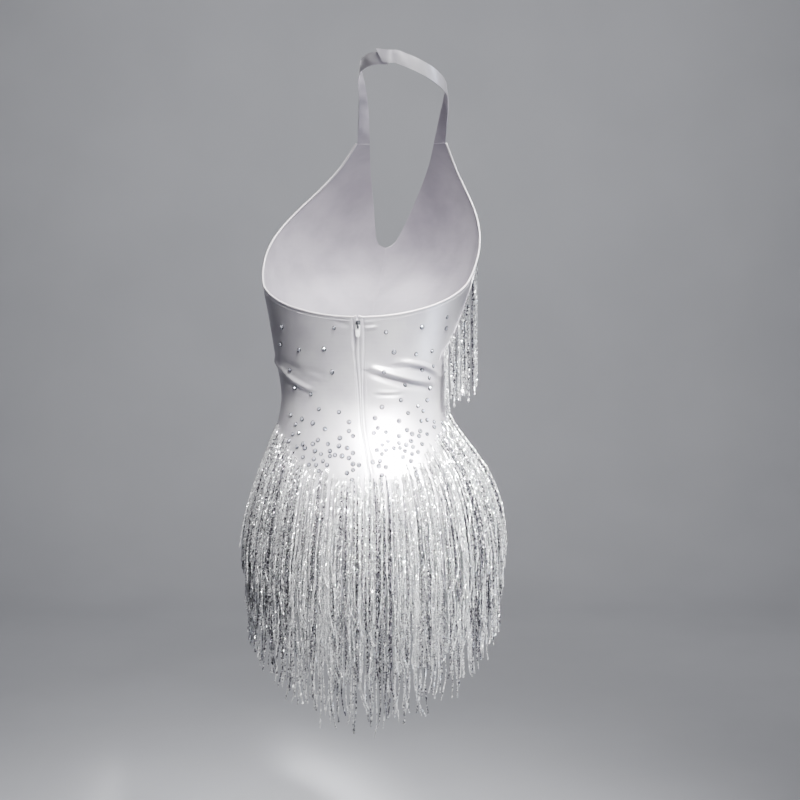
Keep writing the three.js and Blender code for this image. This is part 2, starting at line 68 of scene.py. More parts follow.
RING_COLUMNS = ["level", "backZ", "frontZ", "half", "back", "front", "shift", "turn"]
RINGS = [
    (335, 335, 335, 116, 92, 60, -42, 10),
    (300, 300, 300, 130, 100, 76, -35, 10),
    (250, 250, 250, 140, 106, 92, -23, 10),
    (200, 200, 200, 145, 104, 97, -12, 9),
    (150, 150, 150, 140, 100, 95, -5, 8),
    (100, 100, 100, 128, 93, 88, -2, 4),
    (50, 50, 50, 118, 86, 82, 0, 2),
    (0, 0, 0, 109, 82, 79, 1, 0),
    (-35, -35, -35, 115, 88, 83, -1, 0),
    (-70, -70, -70, 130, 100, 88, -7, 0),
    (-105, -105, -105, 146, 110, 92, -12, 0),
    (-150, -150, -150, 157, 117, 92, -14, 0),
    (-200, -200, -200, 163, 114, 80, -14, 0),
    (-235, -233, -229, 164, 98, 62, -14, 0),
    (-270, -256, -252, 164, 72, 42, -14, 0),
    (-310, -271, -269, 164, 36, 20, -14, 0),
    (-350, -276, -276, 164, 0, 0, -14, 0),
]
EDGE_COLUMNS = ["angle", "height"]
UPPER_EDGE = [
    (0, 106), (20, 109), (40, 117), (55, 126), (70, 138), (80, 149), (SIDE_SEAM, SIDE_SEAM_TOP),
    (100, 192), (110, 216), (122, 244), (134, 272), (143, 300), (149, STRAP_START),
]
NECKLINE_COLUMNS = ["height", "angle"]
NECKLINE = [(NECKLINE_LOW, 0), (193, 3), (198, 5), (207, 6.5), (240, 10.5), (285, 16), (STRAP_START, 22)]
BUST = {"x": 62, "z": 158, "wide": 62, "up": 88, "down": 48, "height": 34}

# Each crease runs from one angle and level to another. Height is a plain ridge, tuck a ridge with a trough
# below it, and sag bends the crease downwards at its middle.
# Columns: angle, level, angle, level, height, tuck, width, sag
CREASES = [
    (93, 46, 62, 30, 2.0, 1.2, 4.6, 0),
    (66, 32.5, 36, 9, 1.6, 1.8, 4.4, 2),
    (68, 51, 24, 33, -0.9, 0.3, 6.5, 2),
    (46, 36, 26, 24, 0.3, 0.4, 6, 0),
    (-5.5, 39, -55, 15, 0.8, 4.4, 5.6, 2),
    (-9, 35.5, -48, 16.5, -1.6, 0, 2.6, 2),
    (-24, 46, -62, 25, 0.4, 3.0, 4.8, -5),
    (-30, 42, -54, 31, -1.3, 0, 2.3, -3),
    (-10, 8.8, -28, 8, 0, 0.9, 3, 1),
    (-62, 24, -86, 22, 0.8, 0.9, 6, 0),
    (-66, 40, -88, 44, -0.4, 0.9, 6, 0),
    (-3, 100.6, -10, 102.4, 0.9, 0, 2.0, 0),
    (-3, 92.6, -11, 94.8, 1.5, 0.3, 2.6, 0),
    (3.2, 91, 3.0, 66, -2.4, 0, 1.3, 0),
    (5, 99, 14, 103, -0.9, 0.2, 4.5, 0),
    (118, 38, 152, 14, 0.8, 1.6, 6, 2),
    (112, 22, 134, 6, 0.3, 1.2, 5, 2),
    (-116, 34, -150, 18, 0.5, 1.7, 6, 2),
    (-120, 50, -168, 36, 0.6, 1.1, 6, -2),
    (-106, 14, -128, 4, 0.3, 0.9, 5, 0),
]
# Makes the ridge and the trough of a tuck as high and as deep as its number
TUCK_SCALE = 2.33
# The share of its height that a crease has at its ends
CREASE_END = 0.15

STRAP_COLUMNS = ["angle", "radius", "height", "lean", "shiftX", "shiftY", "width"]
STRAP = [
    (0, 56, 434, 0, -54, 14, 16),
    (30, 56, 428, 0, -54, 14, 16),
    (60, 56, 419, 3, -54, 14, 16),
    (90, 56.4, 408, 8, -53, 13, 16),
    (110, 59, 391, 14, -51, 10, 16.4),
    (122, 64, 373, 19, -48, 6, 17),
    (131, 69, 355, 23, -45, 3, 17),
]
STRAP_TURN = 10
STRAP_TILT = 0.2
TILT_FADE = 60
STRAP_END = 138
CLOSURE = {"angle": 19, "overlap": 15, "lift": 1.7}
BINDING_RADIUS = 1.3

# The hip fringe: one row for each rank, the highest first
# Columns: solid, drop, lift, length at the sides, more of it at the centre
RANKS = [
    ("fringe_upper", 0, 13.6, 190, 20),
    ("fringe_middle", 52, 8.6, 190, 26),
    ("fringe_lower", 104, 3.6, 185, 34),
]
# The close rows of a rank: how far each hangs below the first, how much nearer to the body it is than the one
# before, and by what share of a step its strands are moved along
ROW_DROPS = (0, 7, 25)
ROW_LIFT = 1.5
ROW_SHIFT = 0.33
STRANDS_PER_ROW = 150
JITTER = 0.4
ROOT_SCATTER = (-7, 5)
LENGTH = {"more": 5, "spread": 4, "shorter": 17}
# Neighbours gather towards places so many degrees apart, each by its own share of the way.
CLUMP_PITCH = 3.1
CLUMP_SHARE = (0.1, 0.95)
HIP_RADIUS = 165
ROOT = {"back": -96, "side": -34, "front": -90, "tilt": -0.085, "half": 118}
WIDEST = {"side": -225, "back": -165, "front": -130}
TAPE = {"top": 4, "foot": 9, "thickness": 0.5, "lift": 0.3}
ROOT_LIFT = 0.7
NEAR_LIFT = 2.6
LEAST_LIFT = 3.2

# How far strands wander, in millimetres at the tips of strands of size 1. Strays is the share of strands that
# stray, and turns how often a strand waves in its length.
WANDER = {
    "drift": 0.9, "stray": 6, "strays": 0.07, "wave": (0.3, 1), "turns": (1.5, 3.5), "curl": 2.6, "out": 1.3,
}
# How neighbours lean together: waves in a turn round the hips, and millimetres at the tips
SWAY_WAVES = (9, 23, 61)
SLOW_SWAY = 1.7
QUICK_SWAY = 1.5
HIP_SIZE = 1.7
BUST_SIZE = 1.1
STRAND_STEPS = 15
FULL_TURN = 6.28
FRINGE_SEED = 40
CORD_SEED = 77

# The bust fringe, from the right back over the side seam to the centre front
BUST_LINE_COLUMNS = ["angle", "height", "length"]
BUST_LINE = [
    (-60, 58, 66), (-74, 86, 92), (-86, 124, 122), (-97, 160, 150), (-110, 180, 152), (-128, 182, 150),
    (-148, 170, 145), (-166, 154, 138), (-178, 144, 130),
]
BUST_STRANDS = 90
BUST_BUNDLES = 30
CORD = {"root_lift": 1.2, "lift": 3.2, "bend": 8, "shorter": 12, "gather": 0.95, "winding": 0.8}

# Twisted metallic yarn
HIP_YARN = {"Width": 1.8, "Thickness": 1.0, "Step": 3.8}
HIP_TWIST = 210.0
BUST_YARN = {"Width": 2.3, "Thickness": 1.5, "Step": 4.2}
BUST_TWIST = 90.0
TWIST_SHAKE = 1.3
FOIL_CONTRAST = 1.1
FOIL_OFFSET = -0.26
STRAND_CONTRAST = 0.44

# At this scale of Blender's wave texture the satin's drawn rib repeats every 5.65 mm.
RIB_SCALE = 55.5556

# Places of the stones on the back, read in the photograph's frame: across and down
STONES = [
    (334, 328), (324, 349), (299, 350), (332, 372), (290, 370), (295, 388), (311, 394), (281, 344),
    (282, 327), (386, 332), (422, 327), (394, 352), (416, 354), (432, 351), (433, 366), (422, 370),
    (384, 372), (429, 378), (405, 385), (430, 388), (447, 317), (446, 328), (291, 415), (302, 419),
    (296, 424), (313, 423), (319, 409), (339, 412), (349, 422), (325, 429), (349, 431), (353, 436),
    (293, 434), (299, 433), (289, 441), (340, 438), (318, 440), (303, 444), (313, 444), (328, 444),
    (297, 447), (305, 448), (339, 446), (347, 448), (315, 451), (330, 451), (353, 453), (321, 454),
    (335, 455), (342, 456), (330, 456), (303, 457), (291, 459), (314, 459), (349, 458), (323, 461),
    (353, 464), (359, 465), (309, 465), (316, 465), (327, 465), (353, 470), (319, 471), (347, 473),
    (352, 480), (401, 400), (427, 400), (382, 407), (418, 406), (408, 413), (423, 411), (375, 418),
    (399, 421), (421, 421), (427, 420), (434, 422), (442, 423), (378, 428), (434, 427), (374, 433),
    (386, 432), (407, 430), (412, 434), (399, 436), (420, 431), (419, 436), (427, 434), (438, 436),
    (388, 441), (399, 443), (411, 441), (382, 445), (406, 445), (422, 444), (394, 448), (400, 448),
    (413, 447), (377, 450), (386, 450), (405, 451), (382, 454), (412, 454), (418, 452), (403, 457),
    (373, 462), (380, 461), (411, 461), (379, 466), (386, 467), (382, 475),
]
STONE = {"Foot": 5.2, "Top": 2.7, "Height": 1.5, "Rise": 0.7}
# The dark ring round each stone's foot is painted shade, not a setting.
STONE_SHADE_RING = {"Foot": 6.6, "Top": 5.3, "Height": 1.0, "Rise": 0.0}
STONE_LIFT = 0.2
STONE_TILT = 0.09
STONE_SIZES = (0.88, 1.08)
# On the front the stones stand a little higher, and those of the upper back aren't repeated.
FRONT_STONES = {"rise": 4, "top": 60}

ZIP_BOTTOM = -92
ZIP_TOP = 101
ZIP_PEAK = 2.4
# The folded edges beside the zip: half their width at the waist, how much more it is from the top level up,
# and how far they stand up
PLACKET = {"half": 1.9, "more": 4, "top": 84, "height": 0.55}


# Small tools


def hermite(x, y, at):
    """A smooth curve through values y at places x, flat beyond its ends. The last axis of y runs along x."""
    last = len(x) - 1
    before = np.maximum(np.arange(last + 1) - 1, 0)
    after = np.minimum(np.arange(last + 1) + 1, last)
    slope = (y[..., after] - y[..., before]) / (x[after] - x[before])
    at = np.clip(at, x[0], x[-1])
    i = np.clip(np.searchsorted(x, at, side="right") - 1, 0, last - 1)
    width = x[i + 1] - x[i]
    t = (at - x[i]) / width

    def pick(values, index):
        return values[index] if values.ndim == 1 else np.take_along_axis(values, index[..., None], -1)[..., 0]

    return (
        pick(y, i) * (2 * t**3 - 3 * t**2 + 1)
        + pick(slope, i) * width * (t**3 - 2 * t**2 + t)
        + pick(y, i + 1) * (3 * t**2 - 2 * t**3)
        + pick(slope, i + 1) * width * (t**3 - t**2)
    )


def smooth(rows, columns, across, value):
    """A smooth curve through two columns of a table."""
    points = sorted((row[columns.index(across)], row[columns.index(value)]) for row in rows)
    x, y = (np.array(side, float) for side in zip(*points))
    return lambda at: hermite(x, y, at)


def track(rows, columns):
    """A smooth curve along a table's first column for each of the others."""
    return {column: smooth(rows, columns, columns[0], column) for column in columns[1:]}


def bell(x, width):
    return np.exp(-((x / width) ** 2))


def unit(vectors):
    return vectors / np.linalg.norm(vectors, axis=-1, keepdims=True)


def mix(a, b, t):
    return a + (b - a) * t


def ease(x, low, high):
    t = np.clip((x - low) / (high - low), 0, 1)
    return t * t * (3 - 2 * t)


ring = track(RINGS, RING_COLUMNS)
strap_track = track(STRAP, STRAP_COLUMNS)
bust_line = track(BUST_LINE, BUST_LINE_COLUMNS)
plain_edge = smooth(UPPER_EDGE, EDGE_COLUMNS, "angle", "height")
armhole = smooth([row for row in UPPER_EDGE if row[0] >= SIDE_SEAM], EDGE_COLUMNS, "height", "angle")
neckline = smooth(NECKLINE, NECKLINE_COLUMNS, "height", "angle")


# The worn form


def upper_edge(angle):
    """The back's upper edge, with the small peak where its folded ends meet over the zip."""
    return plain_edge(angle) + ZIP_PEAK * bell(angle, 1.5)


def strap_centre(angle, lift):
    away = np.abs(angle)
    turned = np.radians(angle + STRAP_TURN)
    radius = strap_track["radius"](away) + lift
    x = radius * np.sin(turned)
    tilt = STRAP_TILT * np.clip((STRAP_END - away) / TILT_FADE, 0, 1)
    y = strap_track["shiftY"](away) + radius * np.cos(turned)
    return np.stack([strap_track["shiftX"](away) + x, y, strap_track["height"](away) + tilt * x], axis=-1)


NAPE = strap_centre(np.array(0.0), 0)


def placed(points):
    """Points around the waist in millimetres, moved to the frame's origin at the nape, in metres."""
    return (np.asarray(points) - NAPE) * MILLIMETRE


def in_metres(sizes):
    return {name: size * MILLIMETRE for name, size in sizes.items()}


def crease_height(angle, level):
    per_degree = np.radians(ring["half"](level))
    total = np.zeros(np.broadcast(angle, level).shape)
    for angle1, level1, angle2, level2, height, tuck, width, sag in CREASES:
        dx = (angle2 - angle1) * per_degree
        dz = level2 - level1
        x = (angle - angle1) * per_degree
        z = level - level1
        t = np.clip((x * dx + z * dz) / (dx * dx + dz * dz), 0, 1)
        bend = sag * 4 * t * (1 - t)
        away_x = x - t * dx
        away_z = z - t * dz + bend
        away = np.hypot(away_x, away_z)
        fade = 1 - np.abs(2 * t - 1) ** 3
        signed = np.where(away_z >= 0, away, -away) / width
        shape = height * bell(away, width) + tuck * TUCK_SCALE * signed * bell(away, width)
        total = total + shape * mix(CREASE_END, 1, fade)
    return total


def pull_lines(angle, level):
    """The faint unevenness of cloth that is stretched over a body, and the dips along its seams."""
    arc = np.radians(angle) * ring["half"](level)
    soft = 0.22 * np.sin(arc / 17 + 1.3 * np.sin(level / 29)) * np.sin(level / 23 + 0.7)
    soft = soft + 0.12 * np.sin(arc / 7.3 - level / 11) * bell(level - 20, 60)
    seam_away = (np.abs(angle) - SIDE_SEAM) * np.radians(ring["half"](level))
    dips = -0.55 * bell(seam_away, 1.6) * (level < SIDE_SEAM_TOP)
    return soft + dips + np.where(np.abs(angle) < SIDE_SEAM / 2, placket(arc, level), 0)


def placket(arc, level):
    """The folded edges beside the zip: wide at the top, drawn together at the waist, a plain seam below."""
    half = PLACKET["half"] + PLACKET["more"] * ease(level, 0, PLACKET["top"])
    open_part = ease(level, ZIP_BOTTOM - 10, ZIP_BOTTOM + 10)
    raised = PLACKET["height"] * (1 - ease(np.abs(arc), half - 0.8, half + 0.8))
    return open_part * (raised - 0.6 * bell(np.abs(arc) - half - 0.9, 1.0)) - 0.8 * bell(arc, 1.3)


def bust_height(x, z):
    rise = bell(z - BUST["z"], np.where(z > BUST["z"], BUST["up"], BUST["down"]))
    return BUST["height"] * rise * (bell(x - BUST["x"], BUST["wide"]) + bell(x + BUST["x"], BUST["wide"]))


def plain_point(angle, level):
    """The cloth's outer face before creases. Angle 0 is the centre back, and 180 the centre front."""
    turned = np.radians(angle)
    at_back = np.cos(turned) >= 0
    x = ring["half"](level) * np.sin(turned)
    z = np.where(at_back, ring["backZ"](level), ring["frontZ"](level))
    depth = np.where(at_back, ring["back"](level), ring["front"](level) + bust_height(x, z))
    y = depth * np.cos(turned)
    turn = np.radians(ring["turn"](level))
    return np.stack(
        [ring["shift"](level) + x * np.cos(turn) + y * np.sin(turn), y * np.cos(turn) - x * np.sin(turn), z],
        axis=-1,
    )


def body_normal(angle, level):
    across = plain_point(angle + 1, level) - plain_point(angle - 1, level)
    up = plain_point(angle, level + 1) - plain_point(angle, level - 1)
    return -unit(np.cross(across, up))


def body_point(angle, level, lift=0.0):
    angle, level, lift = np.broadcast_arrays(*(np.asarray(v, float) for v in (angle, level, lift)))
    height = lift + crease_height(angle, level) + pull_lines(angle, level)
    return plain_point(angle, level) + body_normal(angle, level) * height[..., None]


def leg_angle(level, power):
    down = np.clip((LEG_TOP - level) / (LEG_TOP - CROTCH), 0, 1)
    return mix(SIDE_SEAM, CROTCH_ANGLE, down**power)


def gap_angle(level, gap):
    return np.degrees(gap / ring["half"](level))


# Meshes and node trees


def new_object(name, mesh):
    piece = bpy.data.objects.new(name, mesh)
    bpy.context.scene.collection.objects.link(piece)
    return piece


def wall(name, grids, at, spread_out, thickness, finishes):
    """A closed shell of cloth. Each grid is a pair of arrays of places, rows upwards and columns to the right
    seen from outside. Grids may share places. The function at gives points at a depth below the outer face,
    and spread_out gives the flat place of the cloth for its weave."""
    known = {}
    places = []
    quads = []
    for first, second in grids:
        index = np.empty(first.shape, int)
        for spot in np.ndindex(first.shape):
            key = (round(float(first[spot]), 4), round(float(second[spot]), 4))
            if key not in known:
                known[key] = len(places)
                places.append((float(first[spot]), float(second[spot])))
            index[spot] = known[key]
        corners = (index[:-1, :-1], index[:-1, 1:], index[1:, 1:], index[1:, :-1])
        quads += np.stack(corners, axis=-1).reshape(-1, 4).tolist()
    flat = np.array(places)
    count = len(places)
    outer = at(flat[:, 0], flat[:, 1], 0.0)
    inner = at(flat[:, 0], flat[:, 1], thickness)
    edges = {(q[k], q[(k + 1) % 4]) for q in quads for k in range(4)}
    rims = [(a, b) for a, b in edges if (b, a) not in edges]
    faces = quads + [[i + count for i in reversed(q)] for q in quads]
    faces += [[b, a, a + count, b + count] for a, b in sorted(rims)]
    mesh = bpy.data.meshes.new(name)
    mesh.from_pydata(placed(np.concatenate([outer, inner])).tolist(), [], faces)
    uv = spread_out(flat[:, 0], flat[:, 1]) * MILLIMETRE
    uv = np.concatenate([uv, uv])
    layer = mesh.uv_layers.new(name="UVMap")
    loops = np.empty(len(mesh.loops), int)
    mesh.loops.foreach_get("vertex_index", loops)
    layer.data.foreach_set("uv", uv[loops].astype(np.float32).ravel())
    for finish in finishes:
        mesh.materials.append(finish)
    slots = np.zeros(len(faces), int)
    slots[len(quads) : 2 * len(quads)] = len(finishes) - 1
    mesh.polygons.foreach_set("material_index", slots)
    mesh.shade_smooth()
    mesh.set_sharp_from_angle(angle=math.radians(50))
    mesh.update()
    return new_object(name, mesh)


def connect(tree, node, links):
    """Sets inputs of a node: to values, to other nodes' outputs, or to other nodes for their first output."""
    for name, value in links.items():
        if isinstance(value, bpy.types.Node):
            value = value.outputs[0]
        if isinstance(value, bpy.types.NodeSocket):
            tree.links.new(value, node.inputs[name])
        else:
            node.inputs[name].default_value = value


def add(tree, kind, links=None, **settings):
    """Adds a node. Links are its inputs, and settings its properties."""
    made = tree.nodes.new(kind)
    for name, value in settings.items():
        setattr(made, name, value)
    connect(tree, made, links or {})
    return made


def maths(tree, operation, *values):
    return add(tree, "ShaderNodeMath", dict(enumerate(values)), operation=operation)


def random_number(tree, highest, **links):
    """A number from 0 up to the highest, drawn anew for each element."""
    highest_number, number_out = 3, 1
    made = add(tree, "FunctionNodeRandomValue", {highest_number: highest} | links, data_type="FLOAT")
    return made.outputs[number_out]


def new_tree(name, **inputs):
    """A Geometry Nodes tree for one geometry, the named numbers and a material, and the sockets for them."""
    tree = bpy.data.node_groups.new(name, "GeometryNodeTree")
    tree.interface.new_socket("Geometry", in_out="INPUT", socket_type="NodeSocketGeometry")
    for label, value in inputs.items():
        kind = "NodeSocketInt" if isinstance(value, int) else "NodeSocketFloat"
        socket = tree.interface.new_socket(label, in_out="INPUT", socket_type=kind)
        socket.default_value = value
    tree.interface.new_socket("Material", in_out="INPUT", socket_type="NodeSocketMaterial")
    tree.interface.new_socket("Geometry", in_out="OUTPUT", socket_type="NodeSocketGeometry")
    return tree, add(tree, "NodeGroupInput").outputs


def close_tree(tree, given, geometry):
    """Ends a tree: instances made real, the material set."""
    real = add(tree, "GeometryNodeRealizeInstances", {"Geometry": geometry})
    done = add(tree, "GeometryNodeSetMaterial", {"Geometry": real, "Material": given["Material"]})
    add(tree, "NodeGroupOutput", {"Geometry": done})
    return tree


def final_mesh(piece):
    graph = bpy.context.evaluated_depsgraph_get()
    return bpy.data.meshes.new_from_object(
        piece.evaluated_get(graph), preserve_all_data_layers=True, depsgraph=graph
    )


def grow(name, base, tree, values):
    """Runs a node tree on an object and returns the result as a plain mesh piece."""
    modifier = base.modifiers.new(tree.name, "NODES")
    modifier.node_group = tree
    for item in tree.interface.items_tree:
        if item.in_out == "INPUT" and item.name in values:
            modifier[item.identifier] = values[item.name]
    mesh = final_mesh(base)
    mesh.name = name
    bpy.data.objects.remove(base)
    return new_object(name, mesh)


def grow_lines(name, paths, tree, values):
    """The same on a mesh of open lines, one for each row of points."""
    paths = [np.asarray(path) for path in paths]
    starts = np.cumsum([0] + [len(path) for path in paths])
    links = [(s + k, s + k + 1) for s, path in zip(starts, paths) for k in range(len(path) - 1)]
    mesh = bpy.data.meshes.new(name + "_lines")
    mesh.from_pydata(placed(np.concatenate(paths)).tolist(), links, [])
    return grow(name, new_object(name + "_lines", mesh), tree, values)


def even_curves(tree, mesh, pitch):
    """The lines of a mesh as curves, with a point at each pitch."""
    curves = add(tree, "GeometryNodeMeshToCurve", {"Mesh": mesh})
    return add(tree, "GeometryNodeResampleCurve", {"Curve": curves, "Length": pitch}, mode="LENGTH")


def swept(tree, curves, section):
    links = {"Curve": curves, "Profile Curve": section, "Fill Caps": True}
    return add(tree, "GeometryNodeCurveToMesh", links)


def facetted(tree, geometry):
    return add(tree, "GeometryNodeSetShadeSmooth", {"Geometry": geometry, "Shade Smooth": False})


def yarn_tree():
    """Four-sided yarn with a twist, along each line of a mesh. It swells a little at its cut end."""
    tree, given = new_tree("TwistedYarn", Width=0.002, Thickness=0.001, Step=0.005, Twist=100.0, Seed=1)
    even = even_curves(tree, given["Geometry"], given["Step"])
    along = add(tree, "GeometryNodeSplineParameter").outputs
    number = add(tree, "GeometryNodeInputIndex")
    strand = add(tree, "GeometryNodeCurveOfPoint", {"Point Index": number}).outputs["Curve Index"]
    turn = maths(tree, "MULTIPLY", along["Length"], given["Twist"])
    shaken = maths(tree, "ADD", turn, random_number(tree, TWIST_SHAKE, ID=number))
    start = random_number(tree, FULL_TURN, ID=strand, Seed=given["Seed"])
    tilt = maths(tree, "ADD", shaken, start)
    tilted = add(tree, "GeometryNodeSetCurveTilt", {"Curve": even, "Tilt": tilt})
    swell = add(tree, "ShaderNodeMapRange", {
        "Value": along["Factor"], "From Min": 0.94, "From Max": 0.99, "To Min": 1.0, "To Max": 1.5,
    })
    tipped = add(tree, "GeometryNodeSetCurveRadius", {"Curve": tilted, "Radius": swell})
    shade = random_number(tree, 1.0, ID=strand)
    stored = add(tree, "GeometryNodeStoreNamedAttribute", {
        "Geometry": tipped, "Name": "strand_shade", "Value": shade,
    }, data_type="FLOAT", domain="POINT")
    section = add(tree, "GeometryNodeCurvePrimitiveQuadrilateral", {
        "Width": given["Width"], "Height": given["Thickness"],
    }, mode="RECTANGLE")
    return close_tree(tree, given, facetted(tree, swept(tree, stored, section)))


def stone_tree():
    """A facetted drum at each point of a mesh, set square to the point's own outward direction. The stone is
    made so, and so is the dark
    ring round it: painted shade for the stone's dark edge, not a ring that holds it."""
    drum_inputs = {"Foot": 0.005, "Top": 0.003, "Height": 0.002, "Rise": 0.0, "Sides": 10}
    tree, given = new_tree("FoilBackedStones", **drum_inputs, Seed=1)
    foot = maths(tree, "MULTIPLY", given["Foot"], 0.5)
    top = maths(tree, "MULTIPLY", given["Top"], 0.5)
    drum = add(tree, "GeometryNodeMeshCone", {
        "Vertices": given["Sides"], "Radius Top": top, "Radius Bottom": foot, "Depth": given["Height"],
    }, fill_type="NGON")
    up = add(tree, "ShaderNodeCombineXYZ", {"Z": given["Rise"]})
    raised = add(tree, "GeometryNodeTransform", {"Geometry": drum, "Translation": up})
    outward = add(tree, "GeometryNodeInputNamedAttribute", {"Name": "outward"}, data_type="FLOAT_VECTOR")
    size = add(tree, "GeometryNodeInputNamedAttribute", {"Name": "stone_size"}, data_type="FLOAT")
    square = add(tree, "FunctionNodeAlignRotationToVector", {"Vector": outward}, axis="Z")
    spin = add(tree, "ShaderNodeCombineXYZ", {"Z": random_number(tree, FULL_TURN, Seed=given["Seed"])})
    turn = add(tree, "FunctionNodeEulerToRotation", {"Euler": spin})
    rotations = {"Rotation": square, "Rotate By": turn}
    both = add(tree, "FunctionNodeRotateRotation", rotations, rotation_space="LOCAL")
    laid = add(tree, "GeometryNodeInstanceOnPoints",
               {"Points": given["Geometry"], "Instance": raised, "Rotation": both, "Scale": size})
    return close_tree(tree, given, facetted(tree, laid))


def stitch_tree():
    """A short thick stitch at an even pitch along each line of a mesh."""
    tree, given = new_tree("RunningStitch", Pitch=0.0026, Length=0.0019, Thread=0.0005)
    even = even_curves(tree, given["Geometry"], given["Pitch"])
    tangent = add(tree, "GeometryNodeInputTangent")
    lie = add(tree, "FunctionNodeAlignRotationToVector", {"Vector": tangent}, axis="Z")
    radius = maths(tree, "MULTIPLY", given["Thread"], 0.5)
    stitch = add(tree, "GeometryNodeMeshCylinder", {
        "Vertices": 6, "Side Segments": 1, "Radius": radius, "Depth": given["Length"],
    }, fill_type="NGON")
    laid = add(tree, "GeometryNodeInstanceOnPoints", {"Points": even, "Instance": stitch, "Rotation": lie})
    return close_tree(tree, given, laid)


def rope_tree():
    """A round rolled edge along each line of a mesh."""
    tree, given = new_tree("RolledEdge", Radius=0.001, Step=0.003)
    even = even_curves(tree, given["Geometry"], given["Step"])
    circle = add(tree, "GeometryNodeCurvePrimitiveCircle", {"Resolution": 10, "Radius": given["Radius"]})
    return close_tree(tree, given, swept(tree, even, circle))


# Materials


def colour(hex_code):
    """An sRGB hex colour as linear RGBA."""
    parts = [int(hex_code[i : i + 2], 16) / 255 for i in (1, 3, 5)]
    return (*[v / 12.92 if v <= 0.04045 else ((v + 0.055) / 1.055) ** 2.4 for v in parts], 1.0)


def new_material(name, **settings):
    """A Principled material with plain values on its own sockets."""
    material = bpy.data.materials.new(name)
    material.use_nodes = True
    tree = material.node_tree
    surface = next(n for n in tree.nodes if n.type == "BSDF_PRINCIPLED")
    connect(tree, surface, {label.replace("_", " "): value for label, value in settings.items()})
    return material, tree, surface


def ramp(tree, factor, stops):
    """A colour ramp with the given stops of place and hex colour."""
    made = add(tree, "ShaderNodeValToRGB", {"Fac": factor})
    while len(made.color_ramp.elements) < len(stops):
        made.color_ramp.elements.new(0.5)
    for element, (place, code) in zip(made.color_ramp.elements, stops):
        element.position = place
        element.color = colour(code)
    return made.outputs["Color"]


def noise(tree, place, scale, detail):
    return add(tree, "ShaderNodeTexNoise", {"Vector": place, "Scale": scale, "Detail": detail})


def bump(tree, height, strength, distance, **links):
    values = {"Strength": strength, "Distance": distance, "Height": height}
    return add(tree, "ShaderNodeBump", values | links)


def satin(name, light, shade, roughness, gloss, sheen):
    """Stretch satin: long floats of bright filament on the face, so a broad soft gloss with a lilac cast. Its
    real rib is too fine to show. A faint broad one, with a little fuzz, breaks up the gloss in its place."""
    material, tree, surface = new_material(
        name, Roughness=roughness, Metallic=gloss, Sheen_Weight=sheen, Sheen_Roughness=0.4,
        Specular_IOR_Level=0.6, Anisotropic=0.35,
    )
    place = add(tree, "ShaderNodeUVMap", uv_map="UVMap")
    cloudy = noise(tree, place, scale=28.0, detail=3.0)
    fuzz = noise(tree, place, scale=900.0, detail=2.0)
    rib = add(tree, "ShaderNodeTexWave", {
        "Vector": place, "Scale": RIB_SCALE, "Distortion": 0.6, "Detail": 1.0,
    }, bands_direction="Y")
    weave = bump(tree, maths(tree, "ADD", rib.outputs["Fac"], fuzz), strength=0.1, distance=0.0002)
    connect(tree, surface, {
        "Base Color": ramp(tree, cloudy, [(0.35, shade), (0.62, light)]),
        "Normal": bump(tree, cloudy, strength=0.25, distance=0.002, Normal=weave.outputs[0]),
    })
    return material


def lurex(name, dark, light, roughness):
    """Twisted metallic yarn: flat foil wound round a thread, so each short facet flashes by itself. Strands
    are a little darker or lighter than their neighbours."""
    material, tree, surface = new_material(name, Roughness=roughness, Metallic=0.84)
    foil = noise(tree, add(tree, "ShaderNodeTexCoord").outputs["Object"], scale=420.0, detail=2.0)
    shade = add(tree, "ShaderNodeAttribute", attribute_name="strand_shade").outputs["Fac"]
    flashes = maths(tree, "MULTIPLY_ADD", foil, FOIL_CONTRAST, FOIL_OFFSET)
    tone = maths(tree, "MULTIPLY_ADD", shade, STRAND_CONTRAST, flashes)
    connect(tree, surface, {
        "Base Color": ramp(tree, tone, [(0.28, dark), (0.58, light)]),
        "Roughness": add(tree, "ShaderNodeMapRange", {
            "Value": foil, "To Min": roughness - 0.1, "To Max": roughness + 0.16,
        }),
        "Normal": bump(tree, foil, strength=0.5, distance=0.0006),
    })
    return material


def speckled(name, dark, light, scale, relief, **settings):
    """A plain finish with a fine grain in its colour and its surface."""
    material, tree, surface = new_material(name, **settings)
    grain = noise(tree, add(tree, "ShaderNodeTexCoord").outputs["Object"], scale, detail=3.0)
    connect(tree, surface, {
        "Base Color": ramp(tree, grain, [(0.35, dark), (0.65, light)]),
        "Normal": bump(tree, grain, relief, distance=0.0003),
    })
    return material


satin_face = satin("stretch_satin_face", "#F7F4F8", "#ECE7EF", 0.37, 0.74, 0.0)
# The wrong side of satin shows short floats and no gloss.
satin_back = satin("stretch_satin_wrong_side", "#BDB7C0", "#AFA9B3", 0.75, 0.0, 0.15)
edge_satin = satin("rolled_satin_edge", "#F6F0F2", "#EBE4E8", 0.42, 0.2, 0.2)
silver_yarn = lurex("silver_metallic_yarn", "#4A4650", "#FFFFFF", 0.26)
# Foil-backed glass: sharp facets that are dark or blazing by turns.
stone_glass = speckled("foil_backed_crystal", "#AEB0BC", "#E6E7EF", 300.0, 0.02,
                       Roughness=0.07, Metallic=0.75, Coat_Weight=1.0, Coat_Roughness=0.02)
# A dark ring round each stone: painted shade for the dark edge that a stone shows, not a foiled rim.
painted_shade_ring_finish = speckled("painted_shade_rim", "#2F3036", "#585A62", 700.0, 0.1, Roughness=0.3, Metallic=1.0)
# Nickel-plated zinc: a hard bright gloss with polishing marks.
nickel = speckled("nickel_plated_zinc", "#6E6F74", "#94959A", 900.0, 0.06, Roughness=0.24, Metallic=1.0)
# The pull is near-white and barely metallic, so it shows bright however it is turned: a painted highlight on
# a plated pull.
pull_painted_highlight = speckled("pull_with_painted_highlight", "#F4F4F6", "#FFFFFF", 900.0, 0.04, Roughness=0.25, Metallic=0.1,
                    Coat_Weight=1.0)
